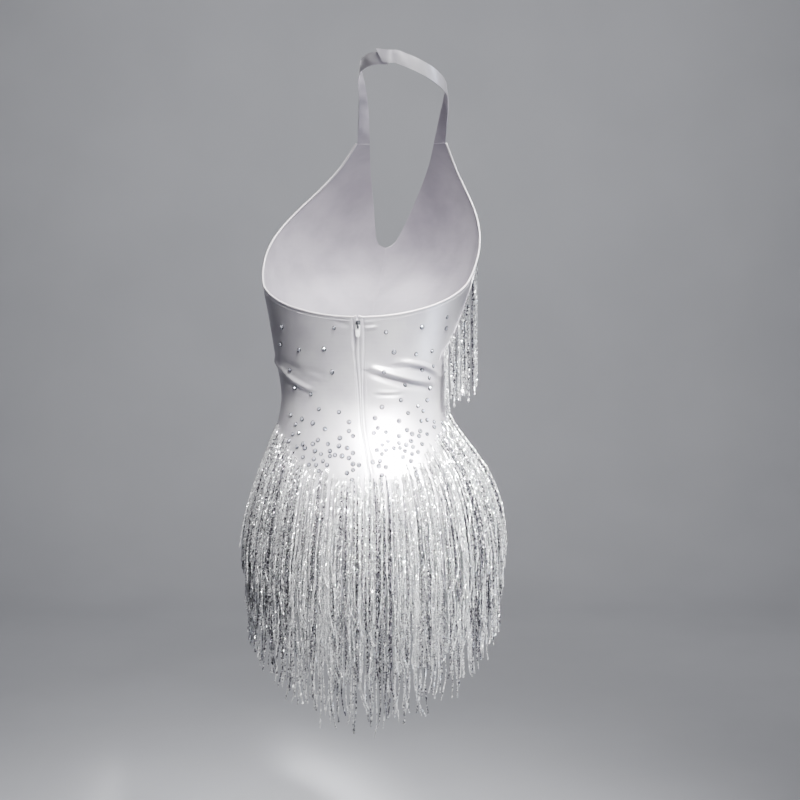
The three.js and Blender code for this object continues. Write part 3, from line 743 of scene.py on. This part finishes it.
# Woven polyester tape and spun thread: matt, with a slight fuzz.
zip_weave = speckled("woven_zip_tape", "#D5D1D8", "#E7E4E9", 1400.0, 0.5, Roughness=0.8, Sheen_Weight=0.3)
coil_nylon = speckled("nylon_zip_coil", "#D9D6DC", "#E9E7EB", 1200.0, 0.1, Roughness=0.35)
thread = speckled("spun_polyester_thread", "#DDD8DF", "#F4F0F4", 1600.0, 0.4, Roughness=0.6, Sheen_Weight=0.3)


# The cloth panels


def on_body(angle, level, depth):
    return body_point(angle, level, -depth)


def flat_body(angle, level):
    return np.stack([np.radians(angle) * ring["half"](level), level], axis=-1)


def satin_panel(name, grids, at, spread_out):
    return wall(name, grids, at, spread_out, CLOTH, [satin_face, satin_back])


BACK_COLUMNS = 84
FRONT_COLUMNS = 56
CROWDING = 1.4
# How the leg openings curve: the power of the share of the way down
BACK_LEG = 0.55
FRONT_LEG = 0.38


def row_between(first, last, columns, crowding=1.0):
    """A grid row for each pair of end values. With crowding over 1, its columns are closest at the first."""
    share = np.linspace(0, 1, columns + 1) ** crowding
    return mix(np.asarray(first, float)[:, None], np.asarray(last, float)[:, None], share)


def back_panel(side, name):
    """Its rows are closest over the waist, where the creases are, and its columns at the zip."""
    hip = np.concatenate([np.linspace(CLOTH_FOOT, -104, 56), np.linspace(-100, -1.5, 54)])
    shares = np.linspace(0, 1, 92)
    zip_edge = side * gap_angle(hip, ZIP_GAP / 2)
    side_edge = side * (leg_angle(hip, BACK_LEG) - gap_angle(hip, SEAM_GAP / 2))
    hip_angles = row_between(zip_edge, side_edge, BACK_COLUMNS, CROWDING)
    hip_levels = np.repeat(hip[:, None], BACK_COLUMNS + 1, axis=1)
    start = side * gap_angle(0.0, ZIP_GAP / 2)
    end = side * (SIDE_SEAM - gap_angle(0.0, SEAM_GAP / 2))
    waist_angles = row_between([start] * len(shares), [end] * len(shares), BACK_COLUMNS, CROWDING)
    waist_levels = shares[:, None] * upper_edge(np.abs(waist_angles))
    angles = np.concatenate([hip_angles, waist_angles])
    levels = np.concatenate([hip_levels, waist_levels])
    if side > 0:
        angles, levels = angles[:, ::-1], levels[:, ::-1]
    return satin_panel(name, [(angles, levels)], on_body, flat_body)


def front_panel(name):
    levels = np.concatenate([
        np.linspace(CLOTH_FOOT, -2, 100), np.linspace(0, SIDE_SEAM_TOP, 80),
        np.linspace(SIDE_SEAM_TOP + 2, NECKLINE_LOW, 12), [191.5, 193, 195, 198, 202, 207],
        np.linspace(210, STRAP_START, 52),
    ])
    above = levels > SIDE_SEAM_TOP
    below_edge = 180 - leg_angle(levels, FRONT_LEG) + gap_angle(levels, SEAM_GAP / 2)
    outer = np.where(above, armhole(levels), below_edge)
    inner = np.where(levels > NECKLINE_LOW, 180 - neckline(levels), 180)
    angles = row_between(inner, outer, FRONT_COLUMNS)
    rows = np.repeat(levels[:, None], FRONT_COLUMNS + 1, axis=1)
    mirrored = np.where(angles == 180, angles, -angles)[:, ::-1]
    return satin_panel(name, [(angles, rows), (mirrored, rows)], on_body, flat_body)


back_left = back_panel(1, "satin_back_left")
back_right = back_panel(-1, "satin_back_right")
front = front_panel("satin_front")


# The neck strap


def strap_normal(angle):
    lean = np.radians(strap_track["lean"](np.abs(angle)))
    turned = np.radians(angle + STRAP_TURN)
    return np.stack([np.sin(turned) * np.cos(lean), np.cos(turned) * np.cos(lean), np.sin(lean)], axis=-1)


def strap_point(angle, side, lift):
    """Along the free strap, and at its ends on the front's upper edge."""
    along = unit(strap_centre(angle + 1, lift) - strap_centre(angle - 1, lift))
    upward = unit(np.cross(along, strap_normal(angle)))
    half = strap_track["width"](np.abs(angle)) / 2
    loose = strap_centre(angle, lift) + upward * (side * half)[..., None]
    level = np.full(angle.shape, STRAP_START + SEAM_GAP)
    edge = np.sign(angle) * mix(armhole(level), 180 - neckline(level), (side + 1) / 2)
    joined = body_point(edge, level, lift - CLOTH)
    return np.where((np.abs(angle) >= STRAP_END)[..., None], joined, loose)


def strap(name, start, end, raised, risen, slant=0.0):
    """Raised lifts the strap off the neck and risen shifts it up the neck, at each angle. Slant cuts back the
    lower corner of the first end."""
    last_free = 124
    low, high = sorted((start, end))
    angles = np.arange(max(low, -last_free), min(high, last_free) + 0.1, 2.5)
    angles = np.concatenate([[low] * (low < -last_free), angles, [high] * (high > last_free)])
    if start > end:
        angles = angles[::-1]
    middle = strap_point(angles, 0 * angles, CLOTH)
    reach = np.concatenate([[0], np.cumsum(np.linalg.norm(np.diff(middle, axis=0), axis=1))])

    def at(place, side, depth):
        place = place + slant * (1 - side) / 2 * (1 - place / reach[-1])
        crown = 0.4 * (1 - side**2) + 0.15 * np.sin(place / 4.1 + 2 * side) * (1 - side**4)
        lift = (CLOTH + crown - depth)[:, None] + raised(angles)[None, :]
        keys = strap_point(*np.broadcast_arrays(angles, side[:, None], lift))
        keys = keys + np.array([0, 0, 1]) * risen(angles)[None, :, None]
        return np.stack([hermite(reach, keys[..., k], place) for k in range(3)], axis=-1)

    def flat(place, side):
        return np.stack([place, side * STRAP[0][-1] / 2], axis=-1)

    columns, rows = 160, 11
    places = np.linspace(0, reach[-1], columns)
    sides = np.linspace(-1, 1, rows)
    grid = (np.repeat(places[None, :], rows, axis=0), np.repeat(sides[:, None], columns, axis=1))
    return satin_panel(name, [grid], at, flat)


closure_start = CLOSURE["angle"] - CLOSURE["overlap"] / 2
closure_end = CLOSURE["angle"] + CLOSURE["overlap"] / 2
# At the closure the outer end stands up a little, and the inner one dips under it.
strap_left = strap(
    "satin_strap_left", STRAP_END, closure_start,
    raised=lambda a: 0 * a,
    risen=lambda a: -1.8 * (1 - ease(a, closure_start, 44)),
)
strap_right = strap(
    "satin_strap_right", closure_end, -STRAP_END,
    raised=lambda a: CLOSURE["lift"] * ease(a, closure_start - 7, closure_start - 1) + 1.2 * ease(a, 20, 27),
    risen=lambda a: 2.6 * ease(a, 8, 27),
    slant=8.0,
)


# Bindings, seams and the zip

yarn = yarn_tree()
stones = stone_tree()
stitches = stitch_tree()
rope = rope_tree()


def edge_path(side, inset, lift):
    """A line along the back's upper edge and up the armhole, so many millimetres inside the edge."""
    back = np.linspace(gap_angle(0.0, ZIP_GAP / 2), 88, 60)
    arm = np.linspace(SIDE_SEAM_TOP + 4, STRAP_START, 50)
    angle = np.concatenate([back, armhole(arm)])
    level = np.concatenate([upper_edge(back), arm])
    points = body_point(side * angle, level, lift)
    along = unit(np.gradient(points, axis=0))
    away = unit(np.cross(along, body_normal(side * angle, level))) * side
    return points - away * inset


def binding(side, name):
    values = in_metres({"Radius": BINDING_RADIUS, "Step": 2.5}) | {"Material": edge_satin}
    return grow_lines(name, [edge_path(side, -BINDING_RADIUS - 0.1, -CLOTH / 2)], rope, values)


binding_left = binding(1, "rolled_edge_left")
binding_right = binding(-1, "rolled_edge_right")


def level_line(angle, low, high, away, lift=0.1, count=80):
    """A line up the cloth at an angle, so many millimetres to one side."""
    level = np.linspace(low, high, count)
    return body_point(angle + gap_angle(level, away), level, lift)


stitch_lines = [level_line(0, ZIP_BOTTOM - 6, ZIP_TOP - 3, away) for away in (-7.2, 7.2)]
stitch_lines += [level_line(side * SIDE_SEAM, -150, 158, away) for side in (-1, 1) for away in (-2.4, 2.4)]
stitch_lines += [edge_path(side, 3.2, 0.1) for side in (-1, 1)]
stitch_values = in_metres({"Pitch": 2.6, "Length": 1.9, "Thread": 0.45}) | {"Material": thread}
seam_stitches = grow_lines("seam_stitches", stitch_lines, stitches, stitch_values)

coil_level = np.linspace(ZIP_BOTTOM, ZIP_TOP - 4, 180)
coil_path = body_point(np.zeros(180), coil_level, -CLOTH - 0.1)
coil_values = in_metres({"Pitch": 1.2, "Length": 0.7, "Thread": 2.2}) | {"Material": coil_nylon}
zip_coil = grow_lines("zip_coil", [coil_path], stitches, coil_values)


def rounded_copy(node, name, width, finish):
    """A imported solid's own form with its edges broken."""
    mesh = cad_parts[node].data.copy()
    mesh.name = name
    piece = new_object(name, mesh)
    weld = piece.modifiers.new("weld", "WELD")
    weld.merge_threshold = 0.00001
    bevel = piece.modifiers.new("bevel", "BEVEL")
    bevel.width = width * MILLIMETRE
    bevel.segments = 2
    bevel.limit_method = "ANGLE"
    bevel.angle_limit = math.radians(35)
    final = final_mesh(piece)
    piece.modifiers.clear()
    piece.data = final
    final.materials.clear()
    final.materials.append(finish)
    final.shade_smooth()
    final.set_sharp_from_angle(angle=math.radians(40))
    return piece


slider = rounded_copy("zip_slider", "zip_slider_body", 0.3, nickel)
pull = rounded_copy("zip_pull", "zip_pull_tab", 0.25, pull_painted_highlight)


# Fringe


def drape_point(angle, z, lift):
    """On the cloth down to the widest ring, then straight down."""
    turned = np.radians(angle)
    back = ring["back"](np.maximum(z, WIDEST["back"]))
    depth = np.where(np.cos(turned) >= 0, back, ring["front"](np.maximum(z, WIDEST["front"])))
    half = ring["half"](np.maximum(z, WIDEST["side"])) + lift
    return np.stack([ring["shift"](z) + half * np.sin(turned), (depth + lift) * np.cos(turned), z], axis=-1)


def root_level(angle, drop):
    sine = np.sin(np.radians(angle))
    centre = np.where(np.cos(np.radians(angle)) >= 0, ROOT["back"], ROOT["front"])
    return mix(centre, ROOT["side"], sine**2) + ROOT["tilt"] * ROOT["half"] * sine - drop


def hang(random, count, size):
    """Sideways and outward wander of each strand, in millimetres, growing towards its tip."""
    each = (count, 1)
    share = np.linspace(0, 1, STRAND_STEPS)[None, :]
    drift = random.normal(0, WANDER["drift"] * size, each)
    strays = random.random(each) < WANDER["strays"]
    stray = np.where(strays, random.normal(0, WANDER["stray"] * size, each), 0)
    waves = random.uniform(*WANDER["wave"], each) * size
    phase = random.uniform(0, FULL_TURN, each)
    turns = random.uniform(*WANDER["turns"], each)
    curl = random.normal(0, WANDER["curl"] * size, each) * np.clip((share - 0.8) / 0.2, 0, 1) ** 2
    side = (drift + stray) * share**2 + waves * share * np.sin(FULL_TURN * turns * share + phase) + curl
    out = np.abs(random.normal(0, WANDER["out"] * size, each)) * share**2
    return share, side, out


def sway(angle, share, seed):
    """How neighbouring strands lean together, in millimetres, so that the fringe parts and gathers."""
    first, second, third = (np.radians(angle) * waves for waves in SWAY_WAVES)
    slow = np.sin(first + seed) + 0.8 * np.sin(second + 2.1 * seed)
    quick = np.sin(third + 3.7 * seed)
    return (SLOW_SWAY * slow + QUICK_SWAY * quick) * share**1.6


def hip_rank(rank, seed):
    """The lines of a rank's strands, in three close rows."""
    _, drop, lift, side_length, centre_extra = rank
    random = np.random.default_rng(seed)
    step = 360 / STRANDS_PER_ROW
    each = (STRANDS_PER_ROW, 1)
    paths = []
    for row, row_drop in enumerate(ROW_DROPS):
        jitter = random.uniform(-JITTER, JITTER, STRANDS_PER_ROW) * step
        angle = ((np.arange(STRANDS_PER_ROW) + ROW_SHIFT * row) * step + jitter)[:, None]
        low = root_level(angle, drop + row_drop) + random.uniform(*ROOT_SCATTER, each)
        length = side_length + centre_extra * np.cos(np.radians(angle)) ** 2 - 0.8 * row_drop
        length = length + LENGTH["more"] + random.normal(0, LENGTH["spread"], each)
        length = length - random.exponential(LENGTH["shorter"], each)
        share, side, out = hang(random, STRANDS_PER_ROW, HIP_SIZE)
        clump = (np.round(angle / CLUMP_PITCH) * CLUMP_PITCH - angle) * random.uniform(*CLUMP_SHARE, each)
        side = side + sway(angle, share, seed + row)
        angles = angle + clump * share**2.5 + np.degrees(side / HIP_RADIUS)
        top = max(lift - ROW_LIFT * row, LEAST_LIFT)
        lifts = mix(NEAR_LIFT, top, np.minimum(1, 1.3 * share)) + out
        lifts[:, 0] = ROOT_LIFT
        paths += list(drape_point(angles, low - share * length, lifts))
    return paths


def tape_band(name, angle, level):
    """A thin heading tape on the cloth, below the given line."""
    down = np.linspace(TAPE["foot"], TAPE["top"], 3)[:, None]
    angles = np.repeat(angle[None, :], len(down), axis=0)

    def at(place, height, depth):
        return body_point(place, height, TAPE["lift"] + TAPE["thickness"] - depth)

    grid = (angles, level[None, :] - down)
    return wall(name, [grid], at, flat_body, TAPE["thickness"], [satin_face])


def grow_yarn(name, paths, sizes, twist, seed):
    values = in_metres(sizes) | {"Twist": twist, "Seed": seed, "Material": silver_yarn}
    return grow_lines(name, paths, yarn, values)


tape_angle = np.linspace(358.6, 1.4, 220)
hip_fringe = []
hip_tapes = []
for order, rank in enumerate(RANKS):
    label = rank[0].replace("fringe_", "")
    hip_tapes.append(tape_band("fringe_tape_" + label, tape_angle, root_level(tape_angle, rank[1])))
    strands = hip_rank(rank, FRINGE_SEED + order)
    hip_fringe.append(grow_yarn("silver_fringe_" + label, strands, HIP_YARN, HIP_TWIST, order))


def bust_rank(seed):
    """Thicker strands that hang straight down from the fullest line of the cloth, wound together by twos and
    threes."""
    random = np.random.default_rng(seed)
    bundle = np.sort(random.integers(0, BUST_BUNDLES, BUST_STRANDS))
    home = (np.arange(BUST_BUNDLES) + random.uniform(0.25, 0.75, BUST_BUNDLES)) / BUST_BUNDLES
    share_of_line = home[bundle] + random.uniform(-0.22, 0.22, BUST_STRANDS) / BUST_BUNDLES
    angle = mix(BUST_LINE[0][0] - 0.5, BUST_LINE[-1][0] + 0.5, share_of_line)
    low = bust_line["height"](angle) - random.uniform(1, 6, BUST_STRANDS)
    start = body_point(angle, low, CORD["root_lift"])
    hung = body_point(angle, low - CORD["bend"], CORD["lift"])
    hung[:, 2] = low - CORD["bend"]
    uneven = random.normal(0, 4, BUST_STRANDS)
    drop = bust_line["length"](angle) - CORD["shorter"] + uneven + random.normal(0, 8, BUST_BUNDLES)[bundle]
    middle = np.array([hung[bundle == b].mean(axis=0) for b in bundle])
    share, side, out = hang(random, BUST_STRANDS, BUST_SIZE)
    gather = CORD["gather"] * np.clip(share * 4, 0, 1)[..., None] * (middle - hung)[:, None, :] * [1, 1, 0]
    # The strands of a bundle start a third of a turn apart.
    turns = share * random.uniform(3, 9, BUST_BUNDLES)[bundle][:, None]
    twist = bundle[:, None] * 1.7 + turns + np.arange(BUST_STRANDS)[:, None] * 2.09
    normal = body_normal(angle, low)
    sideways = unit(np.cross(normal, [0, 0, 1]))
    paths = hung[:, None, :] + gather + np.stack([0 * twist, 0 * twist, -share * drop[:, None]], axis=-1)
    aside = side * 0.8 + CORD["winding"] * np.cos(twist)
    outward = out + CORD["winding"] * np.sin(twist) + 0.9
    paths = paths + sideways[:, None, :] * aside[..., None]
    paths = paths + normal[:, None, :] * [1, 1, 0] * outward[..., None]
    return [np.concatenate([start[i : i + 1], paths[i]]) for i in range(BUST_STRANDS)]


bust_fringe = grow_yarn("silver_fringe_bust", bust_rank(CORD_SEED), BUST_YARN, BUST_TWIST, 9)
bust_angle = np.linspace(BUST_LINE[0][0], BUST_LINE[-1][0], 120)
bust_tape = tape_band("fringe_tape_bust", bust_angle, bust_line["height"](bust_angle))


# The camera, at the photograph's viewing angle

rise = math.radians(CAMERA_RISE)
aim = Vector(placed(np.array(CAMERA_AIM, float)))
eye = aim + Vector((0, math.cos(rise), math.sin(rise))) * CAMERA_DISTANCE * MILLIMETRE
camera_data = bpy.data.cameras.new("camera")
camera_data.sensor_width = SENSOR
camera_data.lens = FOCAL_PIXELS * SENSOR / PHOTO_SIZE
camera = new_object("camera", camera_data)
camera.location = eye
camera.rotation_euler = (aim - eye).to_track_quat("-Z", "Y").to_euler()
bpy.context.scene.camera = camera


# Stones: placed by the photograph on the back, and in the same way on the front


def surface_of(*panels):
    points, faces = [], []
    for panel in panels:
        start = len(points)
        points += [v.co.copy() for v in panel.data.vertices]
        faces += [[start + i for i in p.vertices] for p in panel.data.polygons]
    return BVHTree.FromPolygons(points, faces)


def back_stones(surface):
    """Where the lines of sight through the photograph's places meet the back, with the outward directions."""
    right = Vector((-1, 0, 0))
    forward = (aim - eye).normalized()
    up = right.cross(forward)
    found = []
    for photo_x, photo_y in STONES:
        across = (photo_x - PHOTO_SIZE / 2) / FOCAL_PIXELS
        rising = (PHOTO_SIZE / 2 - photo_y) / FOCAL_PIXELS
        place, normal, _, _ = surface.ray_cast(eye, (forward + right * across + up * rising).normalized())
        if place is not None:
            found.append((np.array(place), np.array(normal)))
    return found


def front_stones(back):
    """The same swags on the front: each stone a little higher, and as far from the middle."""
    found = []
    for place, _ in back:
        x, _, z = place / MILLIMETRE + NAPE
        if z > FRONT_STONES["top"]:
            continue
        sine = np.clip((x - ring["shift"](z)) / ring["half"](z), -0.97, 0.97)
        angle = 180 - float(np.degrees(np.arcsin(sine)))
        angle = angle if angle <= 180 else angle - 360
        level = float(z) + FRONT_STONES["rise"]
        point = placed(body_point(angle, level, 0.0))
        found.append((point, body_normal(np.array(angle), np.array(level))))
    return found


def stone_points(name, places, seed):
    random = np.random.default_rng(seed)
    mesh = bpy.data.meshes.new(name)
    lifted = [place + normal * STONE_LIFT * MILLIMETRE for place, normal in places]
    mesh.from_pydata([tuple(p) for p in lifted], [], [])
    outward = mesh.attributes.new("outward", "FLOAT_VECTOR", "POINT")
    tilts = [unit(normal + random.normal(0, STONE_TILT, 3)) for _, normal in places]
    outward.data.foreach_set("vector", np.array(tilts, np.float32).ravel())
    size = mesh.attributes.new("stone_size", "FLOAT", "POINT")
    size.data.foreach_set("value", random.uniform(*STONE_SIZES, len(places)).astype(np.float32))
    return new_object(name, mesh)


on_back = back_stones(surface_of(back_left, back_right))
all_stones = on_back + front_stones(on_back)


def set_with(name, sizes, finish, sides):
    values = in_metres(sizes) | {"Sides": sides, "Seed": 5, "Material": finish}
    return grow(name, stone_points(name + "_places", all_stones, 3), stones, values)


rhinestones = set_with("rhinestones", STONE, stone_glass, 9)
# A dark ring drawn round each stone: painted shade.
stone_rings = set_with("rhinestone_rings", STONE_SHADE_RING, painted_shade_ring_finish, 12)


# Bodies and replaced solids

tape_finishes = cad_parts["zip_tape"].data.materials
tape_finishes.clear()
tape_finishes.append(zip_weave)

# Columns: piece, the solid that it replaces, slot
PIECES = [
    (back_left, "back_left", "satin"),
    (back_right, "back_right", "satin"),
    (front, "front", "satin"),
    (strap_left, "strap_left", "satin"),
    (strap_right, "strap_right", "satin"),
    (binding_left, "binding_left", "binding"),
    (binding_right, "binding_right", "binding"),
    (slider, "zip_slider", "zip_metal"),
    (pull, "zip_pull", "zip_metal"),
    (zip_coil, None, "zip_cloth"),
    (seam_stitches, None, "binding"),
    (rhinestones, None, "zip_metal"),
    (stone_rings, None, "zip_metal"),
    (bust_fringe, "fringe_bust", "lurex"),
    (bust_tape, "fringe_bust", "binding"),
]
PIECES += [(piece, rank[0], "lurex") for piece, rank in zip(hip_fringe, RANKS)]
PIECES += [(piece, rank[0], "binding") for piece, rank in zip(hip_tapes, RANKS)]
for piece, replaced, slot in PIECES:
    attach(piece, PULL_BODY if piece is pull else BODY)
    if replaced:
        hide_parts(replaced)


# Floor, backdrop and light

FLOOR_DROP = 1.42
WALL_TOP = 3.2
WALL_REACH = 3.6
CURVE_RADIUS = 0.9
STUDIO_HALF = 14


def studio():
    """A floor that curves up into a wall before and behind the object."""
    turns = np.radians(np.linspace(0, 90, 13))
    out = WALL_REACH - CURVE_RADIUS + CURVE_RADIUS * np.sin(turns)
    height = CURVE_RADIUS * (1 - np.cos(turns)) - FLOOR_DROP
    profile = [*zip(out, height), (WALL_REACH, WALL_TOP)]
    profile = [(-y, z) for y, z in reversed(profile)] + profile
    points = [(x, y, z) for y, z in profile for x in (-STUDIO_HALF, STUDIO_HALF)]
    faces = [[2 * k, 2 * k + 1, 2 * k + 3, 2 * k + 2] for k in range(len(profile) - 1)]
    mesh = bpy.data.meshes.new("studio_sweep")
    mesh.from_pydata([tuple(map(float, point)) for point in points], [], faces)
    mesh.shade_smooth()
    sweep = new_object("studio_sweep", mesh)
    # Matt painted boards: pale grey with no gloss.
    mesh.materials.append(speckled("matt_studio_paint", "#B2B3B8", "#B6B7BC", 3.0, 0.0, Roughness=0.9))


def area_light(name, place, size, power, tint="#FFFFFF", target=None, spread=180):
    data = bpy.data.lights.new(name, "AREA")
    data.shape = "RECTANGLE"
    data.size, data.size_y = size
    data.energy = power
    data.spread = math.radians(spread)
    data.color = colour(tint)[:3]
    light = new_object(name, data)
    light.location = place
    light.rotation_euler = ((target or aim) - Vector(place)).to_track_quat("-Z", "Y").to_euler()
    light.visible_camera = False


studio()
backdrop = Vector((0, -2.6, 0))
near_wall = Vector((0, 3.6, 0.3))
hips = Vector((-0.03, 0.0, -0.56))
area_light("key", (-0.6, 1.25, 1.9), (0.9, 0.9), 14, target=hips, spread=30)
area_light("hip_spot", (-0.6, 1.9, 1.0), (0.2, 0.2), 2.6, target=hips, spread=9)
area_light("softbox", (-0.35, 1.75, 0.85), (1.5, 0.9), 1.6, target=hips, spread=60)
area_light("low_card", (-1.4, 2.1, -0.9), (1.6, 0.35), 0.9, spread=80)
area_light("fill", (1.7, 1.5, -0.1), (1.6, 1.6), 0.5, "#EEE8FF", spread=90)
area_light("low_strip", (-1.5, 0.5, -1.0), (0.18, 0.7), 1.2, "#E0ECFF", spread=90)
area_light("side_rim", (-2.0, 0.1, 0.3), (0.4, 1.4), 1.8, "#E0ECFF", spread=90)
area_light("front_soft", (0.9, -2.1, 1.0), (1.2, 1.2), 9, target=hips, spread=60)
for side, label in ((1, "left"), (-1, "right")):
    area_light("wash_" + label, (2.0 * side, -0.9, 0.6), (1.0, 2.0), 22, target=backdrop, spread=110)
    area_light("near_wash_" + label, (2.6 * side, 1.0, 1.0), (1.0, 2.0), 18, target=near_wall, spread=110)
world = bpy.data.worlds.new("studio_air")
bpy.context.scene.world = world
world.use_nodes = True
air = world.node_tree.nodes["Background"].inputs
air["Color"].default_value = colour("#D2D3DA")
air["Strength"].default_value = 0.14

bpy.context.view_layer.update()
